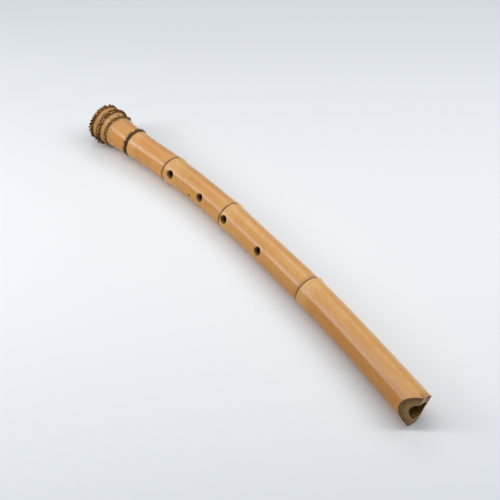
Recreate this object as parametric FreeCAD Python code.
import FreeCAD, Part
import math
import os

# Root-end bamboo flute, end-blown, in two sections joined by a tenon and socket.
# Millimetres, +Z up. The flute lies on its side: mouth end towards +X, root end towards -X,
# finger holes on the side that faces -Y and a little upward, thumb hole on the other side.
# Positions along the flute are measured from the blowing edge, following the centreline.
# Angles around it are in degrees from straight up, positive towards +Y.

# ---------------------------------------------------------------- whole flute
LENGTH = 545.0            # blowing edge to root end face, the standard 1.8 shaku
SEAM = 180.0              # section joint, hidden in the line of a node
SEAM_GAP = 0.05           # gap between the two faces of the joint
GLUE = 0.03               # radial gap of bedded and glued fits

# centreline: position, then x, y, z
CENTRELINE = [
    (0.0, 271.14, -14.27, 17.75), (40.0, 231.53, -8.65, 17.56), (80.0, 191.88, -3.40, 17.35),
    (130.0, 142.20, 2.27, 17.18), (180.0, 92.39, 6.57, 17.10), (225.0, 47.49, 9.56, 16.83),
    (270.0, 2.56, 12.05, 16.52), (319.0, -46.40, 13.96, 16.42), (370.0, -97.39, 13.83, 16.87),
    (419.0, -146.25, 10.48, 18.05), (455.0, -181.99, 6.32, 19.23),
    (486.0, -212.69, 2.19, 20.41), (516.0, -242.39, -1.84, 21.68),
    (545.0, -271.14, -5.46, 22.95)]
BELL_STRAIGHT_FROM = 510.0   # the last stretch, up to the root end, is straight

# outside of the bamboo: position, radius
UPPER_SKIN = [
    (-3.0, 18.25), (0.0, 18.05), (4.0, 17.60), (9.0, 17.25), (16.0, 17.05), (26.0, 16.98),
    (45.0, 16.80), (80.0, 16.50), (110.0, 16.42), (150.0, 16.45), (166.0, 16.55),
    (173.0, 16.68), (177.0, 16.90), (179.2, 17.02), (180.0, 16.98)]
LOWER_SKIN = [
    (180.0, 16.85), (181.5, 16.45), (184.5, 16.20), (190.0, 16.20), (205.0, 16.12),
    (215.0, 16.05), (230.0, 15.85), (250.0, 15.72), (275.0, 15.52), (292.0, 15.60),
    (305.0, 15.72), (312.0, 15.88), (316.0, 16.20), (318.8, 16.40), (320.4, 16.38),
    (322.5, 16.25), (328.0, 15.95), (336.0, 15.60), (350.0, 15.28), (380.0, 15.30),
    (395.0, 15.42), (405.0, 15.38), (411.0, 15.50), (415.5, 16.05), (418.4, 16.40),
    (420.0, 16.25), (423.0, 16.08), (428.0, 16.02), (436.0, 15.90), (446.0, 15.65),
    (458.0, 15.65), (470.0, 15.90), (479.0, 16.10), (483.2, 16.65), (486.0, 17.05),
    (488.5, 16.90), (492.0, 16.60), (498.0, 16.80), (505.0, 17.15), (510.0, 17.80),
    (513.0, 19.10), (515.5, 20.00), (518.0, 19.90), (521.0, 19.50), (524.0, 19.50),
    (527.0, 20.70), (530.0, 22.20), (532.5, 22.00), (535.5, 21.10), (538.5, 21.00),
    (541.0, 21.50), (543.0, 21.70), (545.0, 21.20)]

# one node of the lower section has a ring that leans
LEAN_AT = 419.0
LEAN_DEGREES = 6.3
LEAN_HALF_WIDTH = 10.0
LEAN_DIRECTION = -45.0

# air column: position, radius
BORE = [
    (-3.0, 10.05), (0.0, 10.0), (60.0, 9.85), (120.0, 9.65), (155.0, 9.50), (180.0, 9.40),
    (209.0, 9.30), (260.0, 9.00), (320.0, 8.50), (380.0, 7.95), (430.0, 7.60), (460.0, 7.85),
    (490.0, 8.45), (512.0, 8.90)]
BELL_BORE_R = 9.0            # true cylinder at the root end, takes a stand peg
BELL_BORE_FROM = 511.5

# filler and lacquer built up inside the bamboo: position, wall thickness
LINING_WALL = [(-3.0, 0.30), (4.0, 0.30), (12.0, 0.40), (45.0, 0.90), (512.0, 0.90)]
BELL_LINING_R = 9.82

# ---------------------------------------------------------------- mouth
# The end is planed flat, leaning a little to the chin, the front is cut back at about
# 47 degrees to make the blowing edge, and the back is cut away to rest on the chin.
# Slopes are the fall along the flute per mm across it.
FRONT_ANGLE = -64.4       # towards the finger holes
EDGE_HEIGHT = 5.6         # blowing-edge chord, in front of the axis
FACET_SLOPE = 1.07        # blowing-edge cut, falling to the front
CHIN_SLOPE = 0.256        # end face, falling to the chin
CHIN_CUT_FROM = -8.8      # where the chin cut starts, behind the axis
CHIN_CUT_SLOPE = 0.90

# ---------------------------------------------------------------- holes
# position, angle, radius: finger holes from the root end, then the thumb hole
HOLES = [
    (411.6, -63.8, 4.85), (359.2, -64.5, 4.85), (313.7, -64.6, 4.90), (252.2, -64.1, 4.90),
    (219.0, 115.6, 4.75)]
HOLE_REACH = 30.0         # cutter length outwards from the axis

# ---------------------------------------------------------------- joint
# Bamboo tenon glued in the upper section, slides in a lacquered socket sleeve.
# Lengths are measured from the seam, towards the root unless noted.
TENON_EMBED = 25.0        # towards the mouth
TENON_REACH = 28.6
TENON_GLUED_R = 12.40
TENON_R = 12.30
TENON_BORE_MOUTH_R = 9.50
TENON_BORE_ROOT_R = 9.30
GROOVE_FROM, GROOVE_TO, GROOVE_R = 4.0, 26.0, 11.90
THREAD_END_GAP = 0.1
THREAD_OUTER_R = 12.38
SLEEVE_FROM, SLEEVE_TO = 0.3, 29.0
SLEEVE_INNER_R, SLEEVE_OUTER_R = 12.45, 13.40
SLEEVE_FIT = 0.02         # gap around the sleeve and at its root end

UPPER_LINING_GAP = 0.30   # between the upper lining and the tenon
TENON_START = SEAM - TENON_EMBED
LOWER_LINING_FROM = SEAM + SLEEVE_TO + 0.1

# ---------------------------------------------------------------- construction
OVERRUN = 3.0             # bodies and cutters run this far past the flute's ends
PAST = 1.0                # cutters run this far past the faces they open
BORE_OVERLAP = 0.5        # bore cutters run this far into the next straight stretch
AROUND = 24               # points that define each round section
END_MARGIN = 0.3          # no section closer than this to the end ones
SKIN_STEP = 9.0           # longest gap between sections
UPPER_BORE_STEP = 10.0
LOWER_BORE_STEP = 15.0
CUT_BLOCK = 120.0         # side of the blocks that plane the mouth
MESH_TOLERANCE = 0.02     # for finding the footprint

V = FreeCAD.Vector

LINE = Part.BSplineCurve()
LINE.interpolate(Points=[V(x, y, z) for _, x, y, z in CENTRELINE],
                 Parameters=[position for position, *_ in CENTRELINE])


# ---------------------------------------------------------------- places on the centreline
def on_line(position):
    """Point and unit tangent towards the root; straight before the mouth and along the bell."""
    base = min(max(position, 0.0), BELL_STRAIGHT_FROM)
    tangent = LINE.tangent(base)[0]
    tangent.normalize()
    return LINE.value(base) + tangent * (position - base), tangent


def section_axes(normal):
    """Up direction square to the normal, and side direction (towards +Y)."""
    up = V(0, 0, 1) - normal * normal.z
    up.normalize()
    return up, normal.cross(up)


def radial(position, degrees):
    """Point, tangent and outward direction at an angle around the flute."""
    point, tangent = on_line(position)
    up, side = section_axes(tangent)
    angle = math.radians(degrees)
    return point, tangent, up * math.cos(angle) + side * math.sin(angle)


# ---------------------------------------------------------------- tapered solids
def smooth(table):
    """Monotone cubic through a table of (position, value)."""
    xs = [x for x, _ in table]
    ys = [y for _, y in table]
    gaps = [xs[i + 1] - xs[i] for i in range(len(xs) - 1)]
    rises = [(ys[i + 1] - ys[i]) / gaps[i] for i in range(len(gaps))]
    slopes = [rises[0]] + [0.0] * (len(xs) - 2) + [rises[-1]]
    for i in range(1, len(xs) - 1):
        if rises[i - 1] * rises[i] > 0:
            before = 2 * gaps[i] + gaps[i - 1]
            after = gaps[i] + 2 * gaps[i - 1]
            slopes[i] = (before + after) / (before / rises[i - 1] + after / rises[i])

    def value(x):
        i = 0
        while i < len(gaps) - 1 and x > xs[i + 1]:
            i += 1
        u = (x - xs[i]) / gaps[i]
        return (ys[i] * (1 + 2 * u) * (1 - u) ** 2
                + gaps[i] * slopes[i] * u * (1 - u) ** 2
                + ys[i + 1] * u * u * (3 - 2 * u)
                - gaps[i] * slopes[i + 1] * u * u * (1 - u))
    return value


def stations(table, step):
    """Positions of every table entry, with extra ones so that no gap is longer than step."""
    found = [table[0][0]]
    for position, _ in table[1:]:
        last = found[-1]
        count = max(1, int(math.ceil((position - last) / step - 1e-6)))
        found += [last + (position - last) * (k + 1) / count for k in range(count)]
    return found


def lean(position):
    """Lean of the section in radians, fading out to both sides of the leaning node."""
    away = position - LEAN_AT
    if abs(away) >= LEAN_HALF_WIDTH:
        return 0.0
    return math.radians(LEAN_DEGREES) * math.cos(math.pi / 2 * away / LEAN_HALF_WIDTH) ** 2


def ring(position, radius, leaning):
    """Closed curve around the section at a position."""
    centre, normal, out = radial(position, LEAN_DIRECTION)
    angle = lean(position) if leaning else 0.0
    if angle:
        normal = normal * math.cos(angle) - out * math.sin(angle)
        normal.normalize()
    up, side = section_axes(normal)
    turns = [2 * math.pi * k / AROUND for k in range(AROUND)]
    curve = Part.BSplineCurve()
    curve.interpolate(
        Points=[centre + up * (radius * math.cos(a)) + side * (radius * math.sin(a))
                for a in turns],
        PeriodicFlag=True, Parameters=[float(k) for k in range(AROUND + 1)])
    return curve


def tapered(table, start, end, step, wall=None, offset=0.0, leaning=False):
    """Solid of round sections along the centreline; wall and offset add to the radius."""
    radius = smooth(table)
    extra = smooth(wall) if wall else (lambda position: 0.0)
    inside = [s for s in stations(table, step) if start + END_MARGIN < s < end - END_MARGIN]
    positions = [start] + inside + [end]
    rings = [ring(s, radius(s) + extra(s) + offset, leaning) for s in positions]

    # run a curve lengthwise through matching poles of the rings
    columns = []
    for k in range(rings[0].NbPoles):
        column = Part.BSplineCurve()
        column.interpolate(Points=[r.getPole(k + 1) for r in rings], Parameters=positions)
        columns.append(column)
    along, across = columns[0], rings[0]
    skin = Part.BSplineSurface()
    skin.buildFromPolesMultsKnots(
        [[c.getPole(i + 1) for c in columns] for i in range(along.NbPoles)],
        along.getMultiplicities(), across.getMultiplicities(),
        along.getKnots(), across.getKnots(), False, True, along.Degree, across.Degree)

    wall_face = skin.toShape()
    caps = [Part.Face(Part.Wire(e)) for e in wall_face.Edges if e.isClosed()]
    shell = Part.makeShell([wall_face] + caps)
    shell.sewShape()
    # sewing can change the shape type, so take the shell out of it where there is one
    solid = Part.makeSolid(shell.Shells[0] if shell.Shells else shell)
    if solid.Volume < 0:   # faces point inwards
        solid.reverse()
    return solid


# ---------------------------------------------------------------- straight solids
def straight(at, start, end, radius, end_radius=None):
    """Cylinder or cone on the tangent at a position, from start to end along it."""
    point, tangent = on_line(at)
    base = point + tangent * start
    if end_radius is None:
        return Part.makeCylinder(radius, end - start, base, tangent)
    return Part.makeCone(radius, end_radius, end - start, base, tangent)


def joint_tube(start, end, inner_radius, outer_radius):
    """Straight tube on the joint's axis, measured from the seam."""
    return straight(SEAM, start, end, outer_radius).cut(
        straight(SEAM, start - PAST, end + PAST, inner_radius))


def half_space(point, direction):
    """Block with one face through the point, lying on the side the direction points to."""
    n = V(direction)
    n.normalize()
    x = n.cross(V(0, 0, 1))
    x.normalize()
    y = n.cross(x)
    turn = FreeCAD.Matrix(x.x, y.x, n.x, 0, x.y, y.y, n.y, 0, x.z, y.z, n.z, 0, 0, 0, 0, 1)
    block = Part.makeBox(CUT_BLOCK, CUT_BLOCK, CUT_BLOCK, V(-CUT_BLOCK / 2, -CUT_BLOCK / 2, 0))
    block.Placement = FreeCAD.Placement(turn)
    block.translate(point)
    return block


# ---------------------------------------------------------------- shared cuts
def cut_mouth(shape):
    """Cut the blowing-edge facet, the end face and the chin rest."""
    centre, tangent, front = radial(0.0, FRONT_ANGLE)
    edge = centre + front * EDGE_HEIGHT
    chin_fall = CHIN_SLOPE * (EDGE_HEIGHT - CHIN_CUT_FROM)
    chin_edge = centre + front * CHIN_CUT_FROM + tangent * chin_fall
    for point, direction in (
            (edge, front * FACET_SLOPE - tangent),
            (edge, tangent * -1.0 - front * CHIN_SLOPE),
            (chin_edge, tangent * -1.0 - front * CHIN_CUT_SLOPE)):
        shape = shape.cut(half_space(point, direction))
    return shape


def cut_holes(shape):
    cutters = []
    for position, degrees, radius in HOLES:
        point, _, out = radial(position, degrees)
        cutters.append(Part.makeCylinder(radius, HOLE_REACH, point, out))
    return shape.cut(cutters)


def bell_cutter(radius):
    return straight(BELL_BORE_FROM, 0.0, LENGTH - BELL_BORE_FROM + OVERRUN, radius)


# ---------------------------------------------------------------- upper section
def upper_culm():
    culm = tapered(UPPER_SKIN, -OVERRUN, SEAM - SEAM_GAP, SKIN_STEP)
    culm = culm.cut(tapered(BORE, -OVERRUN, TENON_START + BORE_OVERLAP, UPPER_BORE_STEP,
                            wall=LINING_WALL, offset=GLUE))
    culm = culm.cut(straight(SEAM, -TENON_EMBED, 2 * PAST, TENON_GLUED_R + GLUE))
    return cut_mouth(culm)


def upper_bore_lining():
    air = tapered(BORE, -OVERRUN, TENON_START, UPPER_BORE_STEP)
    lining = tapered(BORE, -OVERRUN, TENON_START - UPPER_LINING_GAP, UPPER_BORE_STEP,
                     wall=LINING_WALL)
    return cut_mouth(lining.cut(air))


def tenon():
    body = straight(SEAM, -TENON_EMBED, -SEAM_GAP, TENON_GLUED_R).fuse(
        straight(SEAM, -TENON_EMBED, TENON_REACH, TENON_R))
    body = body.cut(joint_tube(GROOVE_FROM, GROOVE_TO, GROOVE_R, TENON_R + PAST))
    body = body.cut(straight(SEAM, -TENON_EMBED - PAST, TENON_REACH + PAST,
                             TENON_BORE_MOUTH_R, TENON_BORE_ROOT_R))
    return body.removeSplitter()


def tenon_thread():
    """Thread bound in the tenon's groove, as one plain band."""
    return joint_tube(GROOVE_FROM + THREAD_END_GAP, GROOVE_TO - THREAD_END_GAP,
                      GROOVE_R + GLUE, THREAD_OUTER_R)


# ---------------------------------------------------------------- lower section
def lower_culm():
    culm = tapered(LOWER_SKIN, SEAM, LENGTH, SKIN_STEP, leaning=True)
    culm = culm.cut(straight(SEAM, -PAST, SLEEVE_TO + SLEEVE_FIT, SLEEVE_OUTER_R + SLEEVE_FIT))
    culm = culm.cut(tapered(BORE, LOWER_LINING_FROM - PAST, BELL_BORE_FROM + BORE_OVERLAP,
                            LOWER_BORE_STEP, wall=LINING_WALL, offset=GLUE))
    culm = culm.cut(bell_cutter(BELL_LINING_R + GLUE))
    return cut_holes(culm)


def socket_sleeve():
    return joint_tube(SLEEVE_FROM, SLEEVE_TO, SLEEVE_INNER_R, SLEEVE_OUTER_R)


def lower_bore_lining():
    # small offsets at the ends keep faces of the joined and cut bodies from coinciding
    air = tapered(BORE, LOWER_LINING_FROM - 0.2, BELL_BORE_FROM + BORE_OVERLAP,
                  LOWER_BORE_STEP).fuse(bell_cutter(BELL_BORE_R))
    lining = tapered(BORE, LOWER_LINING_FROM, BELL_BORE_FROM + 0.3, LOWER_BORE_STEP,
                     wall=LINING_WALL)
    lining = lining.fuse(straight(BELL_BORE_FROM, 0.02, LENGTH - BELL_BORE_FROM, BELL_LINING_R))
    return cut_holes(lining.cut(air))


# ---------------------------------------------------------------- origin and export
PIECES = (upper_culm, upper_bore_lining, tenon, tenon_thread,
          lower_culm, socket_sleeve, lower_bore_lining)
shapes = {piece.__name__: piece() for piece in PIECES}

# origin: centre of the footprint, on the plane the flute rests on
points = [p for name in ("upper_culm", "lower_culm")
          for p in shapes[name].tessellate(MESH_TOLERANCE)[0]]
low = [min(p[i] for p in points) for i in range(3)]
high = [max(p[i] for p in points) for i in range(3)]
shift = V(-(low[0] + high[0]) / 2, -(low[1] + high[1]) / 2, -low[2])

os.makedirs("parts", exist_ok=True)
for name, shape in shapes.items():
    shape.translate(shift)
    if len(shape.Solids) != 1:
        raise SystemExit("%s has %d solids" % (name, len(shape.Solids)))
    solid = shape.Solids[0]
    if not solid.isValid():   # the booleans can leave small tolerance faults
        solid.fix(1e-4, 1e-4, 1e-4)
    solid.exportStep(os.path.join("parts", name + ".step"))
